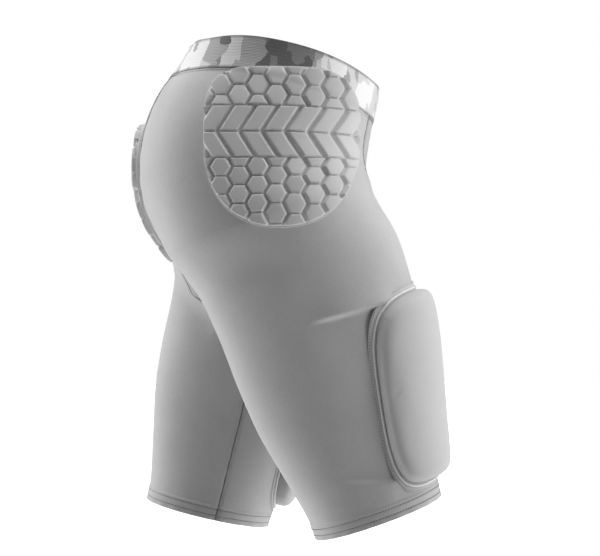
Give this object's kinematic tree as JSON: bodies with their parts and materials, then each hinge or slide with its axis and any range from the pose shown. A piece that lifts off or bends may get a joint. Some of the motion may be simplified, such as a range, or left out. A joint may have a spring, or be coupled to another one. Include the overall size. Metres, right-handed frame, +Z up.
{
  "type": "padded impact shorts",
  "caption": "Close-fitting stretch shorts with tiled hip and tailbone pads, covered thigh pads and an elastic waistband; each leg swings about the hip line.",
  "frame": {"origin": "middle of the waist opening at the waistband's top edge", "axes": "+X to the wearer's front, +Y to the wearer's left, +Z up"},
  "size_m": [0.3229, 0.3754, 0.4977],
  "materials": {
    "waist_elastic": null,
    "waist_lining": "brushed elastic",
    "label": "plain woven satin",
    "thread": "polyester thread",
    "pad_tiles": "moulded foam tiles under laminated stretch fabric",
    "pad_backing": "thin foam sheet under laminated stretch fabric",
    "plate": "semi-rigid moulded sheet",
    "foam": "closed-cell foam",
    "piping": "satin piping over a cord",
    "pad_cover": "smooth matte knit over foam",
    "lining": "fine mesh knit",
    "hem_fabric": "turned and twin-stitched stretch knit",
    "stretch_fabric": "compression knit with a slight sheen"
  },
  "bodies": {
    "seat": {"waistband": "waist_elastic", "waistband_lining": "waist_lining", "care_label": "label", "center_back_panel": "stretch_fabric", "crotch_gusset": "stretch_fabric", "front_pouch_panel": "stretch_fabric", "front_lining": "lining", "waist_stitching": "thread", "right_seat_panel": "stretch_fabric", "left_seat_panel": "stretch_fabric", "right_back_seam": "thread", "left_back_seam": "thread", "right_front_seam": "thread", "left_front_seam": "thread", "right_hip_pad_backing": "pad_backing", "left_hip_pad_backing": "pad_backing", "right_hip_pad_tiles": "pad_tiles", "left_hip_pad_tiles": "pad_tiles", "right_hip_pad_band": "pad_tiles", "left_hip_pad_band": "pad_tiles", "tail_pad_backing": "pad_backing", "tail_pad_tiles": "pad_tiles"},
    "right_leg": {"right_leg_panel": "stretch_fabric", "right_leg_hem": "hem_fabric", "right_hem_stitching": "thread", "right_inseam": "thread", "right_thigh_pad_cover": "pad_cover", "right_thigh_pad_plate": "plate", "right_thigh_pad_foam": "foam", "right_thigh_pad_piping": "piping"},
    "left_leg": {"left_leg_panel": "stretch_fabric", "left_leg_hem": "hem_fabric", "left_hem_stitching": "thread", "left_inseam": "thread", "left_thigh_pad_cover": "pad_cover", "left_thigh_pad_plate": "plate", "left_thigh_pad_foam": "foam", "left_thigh_pad_piping": "piping"}
  },
  "joints": [
    {"name": "right_hip_swing", "type": "hinge", "parent": "seat", "child": "right_leg", "pos_m": [-0.013, -0.089, -0.155], "axis": [0, -1, 0], "range_deg": [-30, 10], "stiffness_Nm_per_rad": 8},
    {"name": "left_hip_swing", "type": "hinge", "parent": "seat", "child": "left_leg", "pos_m": [-0.013, 0.089, -0.155], "axis": [0, -1, 0], "range_deg": [-4, 38], "stiffness_Nm_per_rad": 8}
  ]
}
